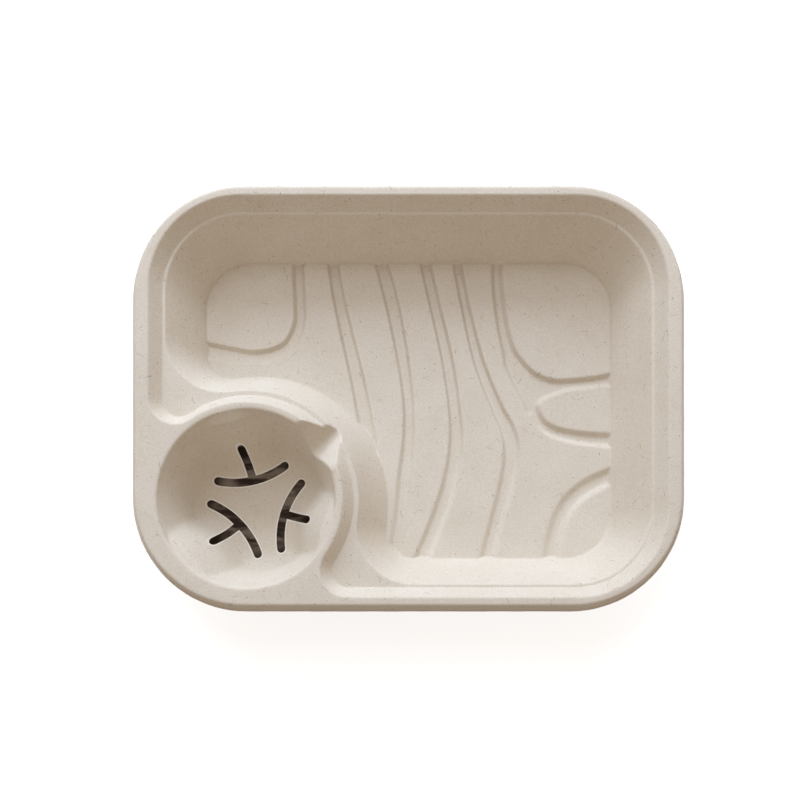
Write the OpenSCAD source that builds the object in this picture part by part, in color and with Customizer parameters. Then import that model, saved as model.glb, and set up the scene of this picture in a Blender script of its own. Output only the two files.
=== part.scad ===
// Food tray of moulded bagasse pulp, with a cup holder pressed into its front left corner.
// One sheet of even thickness is folded over a form. Its upper side is drawn first, as the space
// above the sheet, and its under side is the same form grown by the thickness of the sheet.
// X runs along the length and Y from front to back. Z = 0 is the surface that the tray stands on.

/* [Overall] */
// Length over the lip of the skirt
tray_l = 270; // [240:1:320]
// Width over the lip of the skirt
tray_w = 208; // [190:1:260]
// Height of the flange above the surface that the tray stands on
tray_h = 40; // [34:0.5:60]
// Thickness of the pulp sheet
sheet = 0.8; // [0.5:0.05:1]

/* [Rim] */
// Width of the flat flange along the two ends
flange_end_w = 6.7; // [4.5:0.1:8]
// Width of the flat flange along the front and the back
flange_side_w = 4.3; // [3:0.1:6]
// Corner radius of the flange's outer edge
flange_corner_r = 53; // [44:1:60]
// Depth of the skirt below the flange
skirt_drop = 8; // [6:0.5:12]
// How far the skirt flares out on its way down
skirt_flare = 1.8; // [1.5:0.1:5]
// Width of the lip at the foot of the skirt
lip_w = 1; // [1:0.1:2.5]
// Radius of the fold between flange and skirt
flange_fold_r = 1.8; // [1.2:0.1:2.2]

/* [Stacking step] */
// Depth of the ledge below the flange
step_drop = 8; // [6:0.5:12]
// How far the step leans in between flange and ledge
step_lean = 4.8; // [3:0.1:7]
// Corner radius of the step at the flange
step_corner_r = 44; // [38:1:50]
// Radius of the step's two short turns beside the cup pocket, at the flange
step_turn_r = 13; // [9:0.5:16]
// Width of the ledge where it follows the cup pocket
ring_ledge_w = 2.5; // [2:0.1:4]
// Radius of the fold at the top of the step
step_top_fold_r = 1.5; // [1.1:0.1:1.6]
// Radius of the fold at the foot of the step
step_foot_fold_r = 0.8; // [0.5:0.1:1.2]

/* [Food compartment] */
// Width of the ledge between step and compartment
ledge_w = 1.4; // [1.3:0.1:4]
// How far the walls lean in between ledge and raised floor
wall_lean = 13.6; // [8:0.2:18]
// Corner radius of the walls at the ledge
wall_corner_r = 38; // [30:1:44]
// Radius of the walls' two turns beside the cup pocket, at the ledge
wall_turn_r = 28; // [22:1:34]
// Radius of the fold at the top of the walls
wall_top_fold_r = 1.2; // [1.1:0.1:1.2]
// Radius of the fold at the foot of the walls
wall_foot_fold_r = 1.6; // [1:0.1:3]

/* [Drain channels] */
// Depth of the channels below the raised floor
channel_depth = 2.2; // [1.2:0.1:3.5]
// How far each side of a channel leans in on its way down
channel_lean = 1.3; // [1:0.1:1.5]
// Width added to every channel
channel_extra_w = 0; // [-0.2:0.1:1.5]

/* [Cup pocket] */
// Radius of the pocket at the flange
pocket_r = 43.3; // [36:0.1:46]
// Flat flange between the pocket and the tray's left edge
pocket_end_land = 10.5; // [8:0.1:16]
// Flat flange between the pocket and the tray's front edge
pocket_side_land = 8.5; // [6:0.1:14]
// Width of the ridge between the pocket and the step
ridge_w = 3.4; // [3.2:0.1:8]
// Radius of the fold round the pocket's mouth
pocket_fold_r = 1.7; // [1.1:0.1:1.7]
// How far the pocket's wall leans in at the lobes, where a cup's foot has most room
lobe_lean = 12.3; // [8:0.1:15]
// Radius of the bowl where a lobe meets the base
lobe_bowl_r = 12; // [6:0.5:14]
// How far the three panels that hold the cup stand in from the mouth, at their shoulder
panel_inset = 3.8; // [2.5:0.1:6]
// Depth of the panels' shoulder below the flange
panel_shoulder = 4; // [2.5:0.5:7]
// How far a panel leans in between its shoulder and the base
panel_lean = 19; // [14:0.5:21]
// Radius of the bowl where a panel meets the base
panel_bowl_r = 16; // [8:0.5:18]
// Direction of the first panel from the X axis, in degrees
panel_turn = 103; // [95:1:108]

/* [Slots] */
// Distance of the slots' arcs from the pocket's centre
slot_inset = 13.8; // [12.5:0.1:16]
// Radius of the slots' arcs
slot_arc_r = 44; // [34:1:60]
// Half the angle that each arc spans, in degrees
slot_half_span = 24; // [18:0.5:26]
// Width of the arcs
slot_w = 4.4; // [3:0.1:5]
// Width of the stems
stem_w = 4.2; // [3:0.1:5]
// Distance of the stems' ends from the pocket's centre
stem_reach = 30; // [24:0.5:32]

/* [Notch] */
// Direction of the notch from the X axis, in degrees
notch_turn = 38; // [36:1:42]
// Depth of the notch below the flange, at the pocket
notch_depth = 15; // [10:0.5:17]
// How far the notch's floor rises from the pocket to the compartment
notch_rise = 3; // [0:0.5:6]
// Slope of the notch's two sides, in degrees
notch_slope = 49; // [42:1:60]
// Radius at the bottom of the notch
notch_bottom_r = 3; // [1:0.5:5]

/* [Hidden] */

// Overlap that lets one cut run clear of the next, in millimetres
over = 1;
// How far a panel's collar runs out past the round wall, at the flange
collar_over = 0.3;
// Width over which a panel blends into the lobes beside it
crease_blend = 0.8;
// How a panel curves across at its foot and at its shoulder: 0 is round like the mouth, 1 is flat,
// and more than 1 bulges towards the cup
panel_bulge_foot = 1.9;
panel_bulge_top = 0.4;
// Height above the pocket's base over which its rings lie close together, and their number
bowl_rise = 8.5;
bowl_steps = 5;
// Number of rings above that, up to the panels' shoulder
pocket_rise_steps = 5;
// Angles round the fold of the pocket's mouth, in degrees
mouth_angles = [0, 35, 70];
// Steps in each arc, from end to end
corner_steps = 10;
turn_steps = 6;
ring_steps = 14;
fold_steps = 3;
pocket_steps = 48;
// Share of a step by which the pocket's points stand off the middle of a panel, clear of its slot
pocket_shift = 0.45;
slot_arc_steps = 3;
round_end_steps = 16;
// Steps between two points of a channel's middle line, and the stretch of a step that gives the
// line's direction
channel_steps = 2;
channel_look = 0.02;

ledge_z = tray_h - step_drop;
// The upper side of the sheet where it touches the ground
base_z = sheet;
floor_z = base_z + channel_depth;
skirt_z = tray_h - skirt_drop;

flange_half_l = tray_l / 2 - lip_w - skirt_flare;
flange_half_w = tray_w / 2 - lip_w - skirt_flare;
step_half_l = flange_half_l - flange_end_w;
step_half_w = flange_half_w - flange_side_w;
wall_half_l = step_half_l - step_lean - ledge_w;
wall_half_w = step_half_w - step_lean - ledge_w;
floor_half_l = wall_half_l - wall_lean;
floor_half_w = wall_half_w - wall_lean;

pocket_x = -flange_half_l + pocket_end_land + pocket_r;
pocket_y = -flange_half_w + pocket_side_land + pocket_r;
pocket_p = [pocket_x, pocket_y];
step_ring_r = pocket_r + ridge_w;
wall_ring_r = step_ring_r + step_lean + ring_ledge_w;

// A point at a distance and a direction from another
function polar(p, r, a) = p + r * [cos(a), sin(a)];

// Points along an arc, both ends included
function arc(p, r, a, b, n) = [for (i = [0:n]) polar(p, r, a + (b - a) * i / n)];

// Outline of a rectangle with rounded corners, all moved in by d
function rounded_rect(half_l, half_w, r, d) = [
    for (k = [0:3])
        let (
            sx = (k == 0 || k == 3) ? 1 : -1,
            sy = k < 2 ? 1 : -1,
            centre = [sx * (half_l - r), sy * (half_w - r)]
        )
        each arc(centre, r - d, 90 * k, 90 * k + 90, corner_steps)
];

// Outline of the tray's inside, all moved in by d: a rounded rectangle that keeps clear of a ring
// round the cup pocket, and turns into it with two short arcs
function inside(half_l, half_w, r, ring_r, turn_r, d) =
    let (
        side_x = -half_l + turn_r,
        side_rise = sqrt(pow(ring_r + turn_r, 2) - pow(side_x - pocket_x, 2)),
        side_p = [side_x, pocket_y + side_rise],
        front_y = -half_w + turn_r,
        front_run = sqrt(pow(ring_r + turn_r, 2) - pow(front_y - pocket_y, 2)),
        front_p = [pocket_x + front_run, front_y],
        side_a = atan2(side_p.y - pocket_y, side_p.x - pocket_x),
        front_a = atan2(front_p.y - pocket_y, front_p.x - pocket_x)
    )
    concat(
        arc([half_l - r, -half_w + r], r - d, -90, 0, corner_steps),
        arc([half_l - r, half_w - r], r - d, 0, 90, corner_steps),
        arc([-half_l + r, half_w - r], r - d, 90, 180, corner_steps),
        arc(side_p, turn_r - d, 180, side_a + 180, turn_steps),
        arc(pocket_p, ring_r + d, side_a, front_a, ring_steps),
        arc(front_p, turn_r - d, front_a + 180, 270, turn_steps)
    );

// Section of a leaning wall with a fold at its top and at its foot, as [distance in, height].
// g moves it to the under side of the sheet: the upper fold tightens and the lower one widens.
function folded(lean, top_z, foot_z, top_r, foot_r, g) =
    let (
        slope = atan2(top_z - foot_z, lean),
        top_c = [-top_r * tan(slope / 2), top_z - top_r],
        foot_c = [lean + foot_r * tan(slope / 2), foot_z + foot_r]
    )
    concat(
        [for (i = [0:fold_steps]) let (a = slope * i / fold_steps)
            top_c + (top_r - g) * [sin(a), cos(a)]],
        [for (i = [fold_steps:-1:0]) let (a = slope * i / fold_steps)
            foot_c - (foot_r + g) * [sin(a), cos(a)]]
    );

// Solid through a stack of rings that all have the same number of points, top ring first
module loft(rings) {
    n = len(rings[0]);
    m = len(rings);
    points = [for (ring = rings) each ring];
    // Each four-sided patch is split along its shorter diagonal
    sides = [
        for (j = [0:m - 2], i = [0:n - 1])
            let (a = j * n + i, b = j * n + (i + 1) % n)
            each norm(points[a] - points[b + n]) <= norm(points[b] - points[a + n])
                ? [[a, b, b + n], [a, b + n, a + n]]
                : [[a, b, a + n], [b, b + n, a + n]]
    ];
    top = [[for (i = [n - 1:-1:0]) i]];
    foot = [[for (i = [0:n - 1]) (m - 1) * n + i]];
    polyhedron(points = points, faces = concat(top, sides, foot));
}

function at_height(outline, z) = [for (p = outline) [p.x, p.y, z]];

// How high a pressed space runs: out over the flange, or half way up into its sheet
function above_z(g) = g > 0 ? tray_h - g / 2 : tray_h + over;

// Space inside the stacking step, between ledge and flange
module step_space(g) {
    section = folded(step_lean, tray_h, ledge_z, step_top_fold_r, step_foot_fold_r, g);
    loft([
        for (s = concat([[section[0].x, above_z(g)]], section))
            at_height(
                inside(step_half_l, step_half_w, step_corner_r, step_ring_r, step_turn_r, s.x), s.y)
    ]);
}

// Space inside the walls, down to the bottom of the channels
module wall_space(g) {
    lean = wall_lean * (ledge_z - base_z) / (ledge_z - floor_z);
    section = folded(lean, ledge_z, base_z, wall_top_fold_r, wall_foot_fold_r, g);
    loft([
        for (s = concat([[section[0].x, section[0].y + over]], section))
            at_height(
                inside(wall_half_l, wall_half_w, wall_corner_r, wall_ring_r, wall_turn_r, s.x), s.y)
    ]);
}

// Middle lines of the channels, as [x, y, width]. x and y are in hundredths of half the length and
// half the width of the raised floor, and the width is in millimetres, from edge to edge.
CORNER_CHANNEL = [[-55, 108, 6.2], [-54, 78, 6.2], [-54, 60, 6.2], [-59, 45, 6.7], [-67, 39, 6.7],
    [-77, 37, 6.7], [-88, 39, 7.2], [-108, 44, 8.2]];
LONG_CHANNELS = [
    [[-38, 108, 6.2], [-35, 80, 6.7], [-31, 55, 7.2], [-27, 32, 7.7], [-23, 6, 8.2],
        [-19.5, -22, 8.2], [-18, -48, 8.2]],
    [[-15, 108, 7.2], [-9, 78, 7.7], [-4, 45, 7.2], [-0.5, 12, 6.2], [0, -15, 6.2], [-2, -45, 7.2],
        [-4, -75, 7.7], [-8, -108, 8.2]],
    [[7, 108, 6.2], [13, 72, 6.2], [19, 36, 6.7], [22.5, 4, 6.7], [23.5, -22, 7.7],
        [20, -50, 7.7], [13, -78, 7.7], [4, -108, 8.2]],
    [[23, 108, 5.2], [28, 72, 5.2], [35, 33, 6.2], [44, 2, 6.7], [49, -12, 8.2], [51, -27, 8.7],
        [49, -47, 8.2], [44, -72, 7.2], [37, -108, 7.2]]
];
// Two channels that meet round the tip of a leaf-shaped field, and a short one that widens the
// place where they part
FORK_CHANNELS = [
    [[43.6, 108, 5.8], [44, 85, 5.8], [46, 62, 6], [48.7, 45, 6.6], [51.8, 33, 8.6], [56, 19, 8.6],
        [61.8, 1.6, 5.4], [68, -11, 5.8], [82.5, -17.5, 6.5], [108, -20.5, 7.5]],
    [[60.5, 2, 5], [61.8, 7.1, 7], [64, 11.9, 8.4], [67.1, 14.3, 8], [71.3, 15.8, 7.1],
        [77.8, 17.5, 4.9], [87, 19.3, 4.4], [94, 20.4, 5.6], [108, 23, 8.2]],
    [[51.8, 33, 8.6], [59.5, 22, 9.5], [65.5, 18.3, 7], [71.5, 17, 4.6], [79, 17.8, 3.4]]
];
ROUND_CHANNEL = [[108, -40, 8.2], [92, -49, 8.2], [81, -60, 8.2], [73.5, -78, 7.7], [69, -108, 7.2]];

function floor_point(p) = [p[0] * floor_half_l / 100, p[1] * floor_half_w / 100];

// A smooth line through a list of points: each stretch is a cubic whose slope at a point follows
// its two neighbours
function smooth_at(list, t) =
    let (
        last = len(list) - 1,
        i = min(floor(t), last - 1),
        u = t - i,
        a = list[i],
        b = list[i + 1],
        from = i > 0 ? (b - list[i - 1]) / 2 : b - a,
        to = i < last - 1 ? (list[i + 2] - a) / 2 : b - a
    )
    a * (1 - 3 * u * u + 2 * u * u * u) + b * (3 * u * u - 2 * u * u * u)
        + from * (u - 2 * u * u + u * u * u) + to * (u * u * u - u * u);

// Space inside one channel: a band with leaning sides that follows its middle line
module channel_space(line, g) {
    marks = [for (p = line) [each floor_point(p), p[2] + channel_extra_w]];
    last = len(marks) - 1;
    slope = atan2(channel_depth, channel_lean);
    foot_z = base_z - g;
    head_z = floor_z - g;
    foot_in = channel_lean - g * tan(slope / 2);
    head_in = foot_in - channel_depth / tan(slope);
    stations = [
        for (i = [0:channel_steps * last])
            let (
                t = i / channel_steps,
                here = smooth_at(marks, t),
                ahead = smooth_at(marks, min(t + channel_look, last)),
                behind = smooth_at(marks, max(t - channel_look, 0)),
                run = [ahead.x - behind.x, ahead.y - behind.y],
                across = [-run.y, run.x] / norm(run),
                half = here.z / 2,
                foot = across * (half - foot_in),
                head = across * (half - head_in)
            )
            [
                [here.x + head.x, here.y + head.y, head_z],
                [here.x + foot.x, here.y + foot.y, foot_z],
                [here.x - foot.x, here.y - foot.y, foot_z],
                [here.x - head.x, here.y - head.y, head_z]
            ]
    ];
    loft(stations);
}

// Food compartment: all of its inside above the raised floor, and below that only the channels
module compartment_space(g) {
    intersection() {
        wall_space(g);
        union() {
            translate([-tray_l / 2, -tray_w / 2, floor_z - g]) cube([tray_l, tray_w, tray_h]);
            channel_space(CORNER_CHANNEL, g);
            for (line = LONG_CHANNELS) channel_space(line, g);
            for (line = FORK_CHANNELS) channel_space(line, g);
            channel_space(ROUND_CHANNEL, g);
        }
    }
}

// Distance from the pocket's centre of a wall that runs into the base through a bowl
function bowl_reach(z, foot_r, slope, bowl_r, g) =
    let (
        centre_r = foot_r - bowl_r * tan(slope / 2),
        centre_z = base_z + bowl_r,
        bend_z = centre_z - (bowl_r + g) * cos(slope),
        below = min(centre_z - z, bowl_r + g)
    )
    z < bend_z ? centre_r + sqrt(pow(bowl_r + g, 2) - below * below)
        : foot_r + (z - base_z) / tan(slope) + g / sin(slope);

// Distance of the pocket's wall from its centre at height z, in a direction that lies off degrees
// from the middle of a panel
function pocket_reach(z, off, g) =
    let (
        lobe_foot = pocket_r - lobe_lean,
        lobe_slope = atan2(tray_h - base_z, lobe_lean),
        lobe = bowl_reach(z, lobe_foot, lobe_slope, lobe_bowl_r, g),
        shoulder_z = tray_h - panel_shoulder,
        shoulder_r = pocket_r - panel_inset,
        panel_slope = atan2(shoulder_z - base_z, panel_lean),
        panel = bowl_reach(z, shoulder_r - panel_lean, panel_slope, panel_bowl_r, g),
        collar = shoulder_r + g + (z - shoulder_z) * (panel_inset + collar_over) / panel_shoulder,
        up = (z - base_z) / (shoulder_z - base_z),
        bulge = max(panel_bulge_foot + (panel_bulge_top - panel_bulge_foot) * up, 0),
        chord = max(panel, collar) * (1 + bulge * (1 / cos(off) - 1))
    )
    (lobe + chord - sqrt(pow(lobe - chord, 2) + pow(crease_blend, 2))) / 2;

// Space inside the cup pocket: round at the flange, and three lobes between panels at the base
module pocket_space(g) {
    foot_z = base_z - g;
    bowl_z = foot_z + bowl_rise;
    mouth_z = tray_h - pocket_fold_r;
    fold_r = pocket_fold_r - g;
    // Each level is [height, distance out from the wall below the fold]
    levels = concat(
        [for (i = [0:bowl_steps]) [foot_z + bowl_rise * pow(i / bowl_steps, 2), 0]],
        [for (i = [1:pocket_rise_steps])
            [bowl_z + (tray_h - panel_shoulder - bowl_z) * i / pocket_rise_steps, 0]],
        [for (a = mouth_angles) [mouth_z + fold_r * sin(a), fold_r * (1 - cos(a))]],
        [[tray_h - g, fold_r], [above_z(g), fold_r]]
    );
    loft([
        for (k = [len(levels) - 1:-1:0])
            [for (i = [0:pocket_steps - 1])
                let (
                    a = 360 * (i + pocket_shift) / pocket_steps,
                    off = (a + 60) % 120 - 60,
                    r = pocket_reach(min(levels[k][0], mouth_z), off, g) + levels[k][1]
                )
                [each polar(pocket_p, r, a + panel_turn), levels[k][0]]]
    ]);
}

// Space of the notch that joins the pocket to the compartment across the ridge
module notch_space(g) {
    pocket_run = (notch_depth + sheet) * lobe_lean / (tray_h - base_z);
    wall_run = max(notch_depth - notch_rise - step_drop, 0) * wall_lean / (ledge_z - floor_z);
    from_r = pocket_r - pocket_run - over;
    to_r = wall_ring_r + wall_run + over;
    r = notch_bottom_r + g;
    translate([pocket_x, pocket_y, 0]) rotate([0, 0, notch_turn])
        loft([
            for (end = [[from_r, 0], [to_r, notch_rise]])
                let (
                    centre_z = tray_h - notch_depth + notch_bottom_r + end[1],
                    side = notch_bottom_side(centre_z, r, above_z(g))
                )
                [for (p = side) [end[0], p.x, p.y]]
        ]);
}

// Section of the notch: two sloping sides that run into a round bottom
function notch_bottom_side(centre_z, r, top_z) =
    let (
        bend = [r * sin(notch_slope), centre_z - r * cos(notch_slope)],
        reach = bend.x + (top_z - bend.y) / tan(notch_slope)
    )
    concat(
        [[reach, top_z]],
        [for (a = [notch_slope:-notch_slope / 2:-notch_slope])
            [r * sin(a), centre_z - r * cos(a)]],
        [[-reach, top_z]]
    );

// All that is pressed into the sheet, grown by g
module pressed(g) {
    step_space(g);
    compartment_space(g);
    pocket_space(g);
    notch_space(g);
}

// Section of the flange's edge, the skirt and its lip, as [distance out, height]
function skirt_section(g) =
    let (
        slope = atan2(skirt_drop - sheet, skirt_flare),
        fold_c = [-flange_fold_r * tan(slope / 2), tray_h - flange_fold_r],
        foot = [skirt_flare, skirt_z + sheet]
    )
    concat(
        [for (i = [0:fold_steps]) let (a = slope * i / fold_steps)
            fold_c + (flange_fold_r - g) * [sin(a), cos(a)]],
        [foot - g * [tan(slope / 2), 1]]
    );

// Block under the flange, out to the skirt
module rim_block() {
    section = concat(
        skirt_section(0),
        [[skirt_flare + lip_w, skirt_z + sheet], [skirt_flare + lip_w, skirt_z]]
    );
    loft([for (s = section)
        at_height(rounded_rect(flange_half_l, flange_half_w, flange_corner_r, -s.x), s.y)]);
}

// Hollow under the flange, inside the skirt
module rim_hollow() {
    section = skirt_section(sheet);
    foot = section[len(section) - 1];
    loft([for (s = concat(section, [[foot.x, foot.y - over]]))
        at_height(rounded_rect(flange_half_l, flange_half_w, flange_corner_r, -s.x), s.y)]);
}

module round_end(width) {
    circle(d = width, $fn = round_end_steps);
}

// One T-shaped slot: an arc that bulges towards the pocket's centre, and a stem that points away
module slot() {
    arc_c = [slot_inset + slot_arc_r, 0];
    linear_extrude(tray_h) {
        for (side = [-1, 1], i = [1:slot_arc_steps])
            let (stretch = side * slot_half_span / slot_arc_steps, a = 180 + stretch * i)
            hull() {
                translate(polar(arc_c, slot_arc_r, a - stretch)) round_end(slot_w);
                translate(polar(arc_c, slot_arc_r, a)) round_end(slot_w);
            }
        hull() {
            translate([slot_inset, 0]) round_end(stem_w);
            translate([stem_reach - stem_w / 2, 0]) round_end(stem_w);
        }
    }
}

// The three slots in the pocket's base
module slots() {
    for (k = [0:2])
        translate([pocket_x, pocket_y, -over]) rotate([0, 0, panel_turn + 120 * k]) slot();
}

// The whole tray, one pressed sheet
module tray() {
    color("antiquewhite") difference() {
        union() {
            difference() {
                rim_block();
                rim_hollow();
            }
            pressed(sheet);
        }
        pressed(0);
        slots();
    }
}

tray();
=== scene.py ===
import math

import bpy
import numpy as np
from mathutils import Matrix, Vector
from mathutils.geometry import delaunay_2d_cdt


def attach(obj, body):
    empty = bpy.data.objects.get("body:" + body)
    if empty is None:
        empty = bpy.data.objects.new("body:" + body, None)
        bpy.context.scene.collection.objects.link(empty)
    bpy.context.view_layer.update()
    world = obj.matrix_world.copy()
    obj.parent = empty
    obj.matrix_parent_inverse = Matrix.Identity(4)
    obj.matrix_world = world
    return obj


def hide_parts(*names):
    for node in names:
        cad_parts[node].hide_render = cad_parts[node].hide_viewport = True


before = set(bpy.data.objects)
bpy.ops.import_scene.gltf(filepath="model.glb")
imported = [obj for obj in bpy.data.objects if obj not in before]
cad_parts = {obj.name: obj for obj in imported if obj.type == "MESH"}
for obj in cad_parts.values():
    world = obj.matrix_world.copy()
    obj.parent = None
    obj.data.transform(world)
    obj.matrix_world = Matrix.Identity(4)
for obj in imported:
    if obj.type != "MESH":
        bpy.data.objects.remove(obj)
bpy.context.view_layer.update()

# The rim: one layer of bagasse pulp, pressed hot between two moulds, with a narrow flat flange, a
# fold, and a skirt that flares down to a small flat lip. The moulding is trimmed along the lip's
# outer edge. The drawing is in millimetres, and the mesh is made from it in metres.

TRAY_L = 270.0
TRAY_W = 208.0
TRAY_H = 40.0
SHEET = 0.8
LIP_W = 1.0
SKIRT_FLARE = 1.8
SKIRT_DROP = 8.0
FLANGE_HALF = (TRAY_L / 2 - LIP_W - SKIRT_FLARE, TRAY_W / 2 - LIP_W - SKIRT_FLARE)
FLANGE_CORNER_R = 53.0
LIP_Z = TRAY_H - SKIRT_DROP + SHEET
SKIRT = dict(lean=SKIRT_FLARE, top_z=TRAY_H, foot_z=LIP_Z, top_r=1.8, foot_r=0.5)
TRIM_R = 0.15
TRIM_DOWN = 0.2
TRIM_RAG = 0.1
TRIM_OUT = SKIRT_FLARE + LIP_W - TRIM_R


def fold_sizes(lean, top_z, foot_z, top_r, foot_r):
    """Where the two folds of a leaning wall start and end, as distances in from its top edge."""
    slope = math.atan2(top_z - foot_z, lean)
    top_start = -top_r * math.tan(slope / 2)
    foot_end = lean + foot_r * math.tan(slope / 2)
    return slope, top_start, foot_end


def fold_height(d, lean, top_z, foot_z, top_r, foot_r):
    """Height of a leaning wall with a round fold at its top and at its foot."""
    slope, top_start, foot_end = fold_sizes(lean, top_z, foot_z, top_r, foot_r)
    top_end = top_start + top_r * math.sin(slope)
    foot_start = foot_end - foot_r * math.sin(slope)
    z = top_z - (top_z - foot_z) * d / lean
    over = np.sqrt(np.maximum(top_r ** 2 - (d - top_start) ** 2, 0))
    under = np.sqrt(np.maximum(foot_r ** 2 - (foot_end - d) ** 2, 0))
    z = np.where(d < top_end, top_z - top_r + over, z)
    z = np.where(d < top_start, top_z, z)
    z = np.where(d > foot_start, foot_z + foot_r - under, z)
    return np.where(d > foot_end, foot_z, z)


def fold_rows(lean, top_z, foot_z, top_r, foot_r, fold_steps=5, wall_steps=4, margin=0.45):
    """Distances at which lines of the mesh follow such a wall, from above it to below it."""
    slope, top_start, foot_end = fold_sizes(lean, top_z, foot_z, top_r, foot_r)
    turns = [slope * i / fold_steps for i in range(fold_steps + 1)]
    top = [top_start + top_r * math.sin(a) for a in turns]
    foot = [foot_end - foot_r * math.sin(a) for a in reversed(turns)]
    wall = [top[-1] + (foot[0] - top[-1]) * i / wall_steps for i in range(1, wall_steps)]
    return [top_start - margin] + top + wall + foot + [foot_end + margin]


def arc(centre, r, a, b, n):
    """Points along an arc, both ends included. Its angles are in radians."""
    turn = np.linspace(a, b, n + 1)
    return np.stack([centre[0] + r * np.cos(turn), centre[1] + r * np.sin(turn)], 1)


def closed_line(arcs, spacing):
    """A closed outline through its arcs, with points at an even spacing on its straights.

    A straight is as long in every row of an outline, so each row has as many points."""
    line = []
    for here, after, gap in arcs:
        line.append(here)
        n = max(int(round(gap / spacing)), 1)
        for i in range(1, n):
            line.append(here[-1:] + (after[:1] - here[-1:]) * i / n)
    return np.concatenate(line)


def rounded_rect_distance(x, y, half, r):
    """Distance in from the edge of a rectangle with rounded corners."""
    qx = np.abs(x) - (half[0] - r)
    qy = np.abs(y) - (half[1] - r)
    out = np.hypot(np.maximum(qx, 0), np.maximum(qy, 0)) + np.minimum(np.maximum(qx, qy), 0)
    return r - out


def rim_outline(out, spacing=3.6, corner_steps=22):
    """The flange's outline, moved outwards."""
    half_l, half_w = FLANGE_HALF
    r = FLANGE_CORNER_R
    quarter = math.pi / 2
    corners = []
    for k, (sx, sy) in enumerate([(1, 1), (-1, 1), (-1, -1), (1, -1)]):
        centre = (sx * (half_l - r), sy * (half_w - r))
        corners.append(arc(centre, r + out, k * quarter, (k + 1) * quarter, corner_steps))
    gaps = [2 * (half_l - r), 2 * (half_w - r)] * 2
    return closed_line([(corners[k], corners[(k + 1) % 4], gaps[k]) for k in range(4)], spacing)


def rim_height(x, y):
    return fold_height(-rounded_rect_distance(x, y, FLANGE_HALF, FLANGE_CORNER_R), **SKIRT)


# The inside: a short step down to the stacking ledge, and below it the long leaning walls of the
# food compartment, pressed from the same pulp. Both follow the rim, and both pass round the cup
# pocket with two soft turns.

BASE_Z = SHEET
FLOOR_Z = BASE_Z + 2.2
STEP_DROP = 8.0
LEDGE_Z = TRAY_H - STEP_DROP
POCKET_R = 43.3
POCKET_END_LAND = 10.5
POCKET_SIDE_LAND = 8.5
POCKET = (
    -FLANGE_HALF[0] + POCKET_END_LAND + POCKET_R,
    -FLANGE_HALF[1] + POCKET_SIDE_LAND + POCKET_R)
FLANGE_END_W = 6.7
FLANGE_SIDE_W = 4.3
STEP_HALF = (FLANGE_HALF[0] - FLANGE_END_W, FLANGE_HALF[1] - FLANGE_SIDE_W)
STEP = dict(half=STEP_HALF, r=44.0, ring_r=POCKET_R + 3.4, turn_r=13.0)
STEP_WALL = dict(lean=4.8, top_z=TRAY_H, foot_z=LEDGE_Z, top_r=1.4, foot_r=0.5)
STEP_TO_WALL = 6.2
WALL_HALF = (STEP_HALF[0] - STEP_TO_WALL, STEP_HALF[1] - STEP_TO_WALL)
WALL = dict(half=WALL_HALF, r=38.0, ring_r=POCKET_R + 10.7, turn_r=28.0)
WALL_LEAN = 13.6
WALL_TOP_R = 0.9
WALL_FOOT_R = 0.1
WALL_FILLET = 1.1
# The long wall's own line runs on below the floor, which then meets it in a fillet
WALL_RISE = (LEDGE_Z - FLOOR_Z) / WALL_LEAN
WALL_FOOT_Z = -30.0
LONG_WALL = dict(
    lean=(LEDGE_Z - WALL_FOOT_Z) / WALL_RISE, top_z=LEDGE_Z, foot_z=WALL_FOOT_Z, top_r=WALL_TOP_R,
    foot_r=WALL_FOOT_R)


def turn_centres(half, r, ring_r, turn_r):
    """Centres of the two turns beside the cup pocket, and their directions from it."""
    side_x = -half[0] + turn_r
    side_y = POCKET[1] + math.sqrt((ring_r + turn_r) ** 2 - (side_x - POCKET[0]) ** 2)
    front_y = -half[1] + turn_r
    front_x = POCKET[0] + math.sqrt((ring_r + turn_r) ** 2 - (front_y - POCKET[1]) ** 2)
    side_a = math.atan2(side_y - POCKET[1], side_x - POCKET[0])
    front_a = math.atan2(front_y - POCKET[1], front_x - POCKET[0])
    return (side_x, side_y), side_a, (front_x, front_y), front_a


def inside_distance(x, y, half, r, ring_r, turn_r):
    """Distance in from the outline of the step or of the walls."""
    side, side_a, front, front_a = turn_centres(half, r, ring_r, turn_r)
    from_ring = np.hypot(x - POCKET[0], y - POCKET[1]) - ring_r
    d = np.minimum(rounded_rect_distance(x, y, half, r), from_ring)
    turns = [(side, math.pi, side_a + math.pi), (front, front_a + math.pi, 1.5 * math.pi)]
    for centre, low, high in turns:
        turn = np.mod(np.arctan2(y - centre[1], x - centre[0]), 2 * math.pi)
        in_turn = (turn >= low) & (turn <= high)
        d = np.where(in_turn, np.minimum(turn_r - np.hypot(x - centre[0], y - centre[1]), d), d)
    return d


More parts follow.
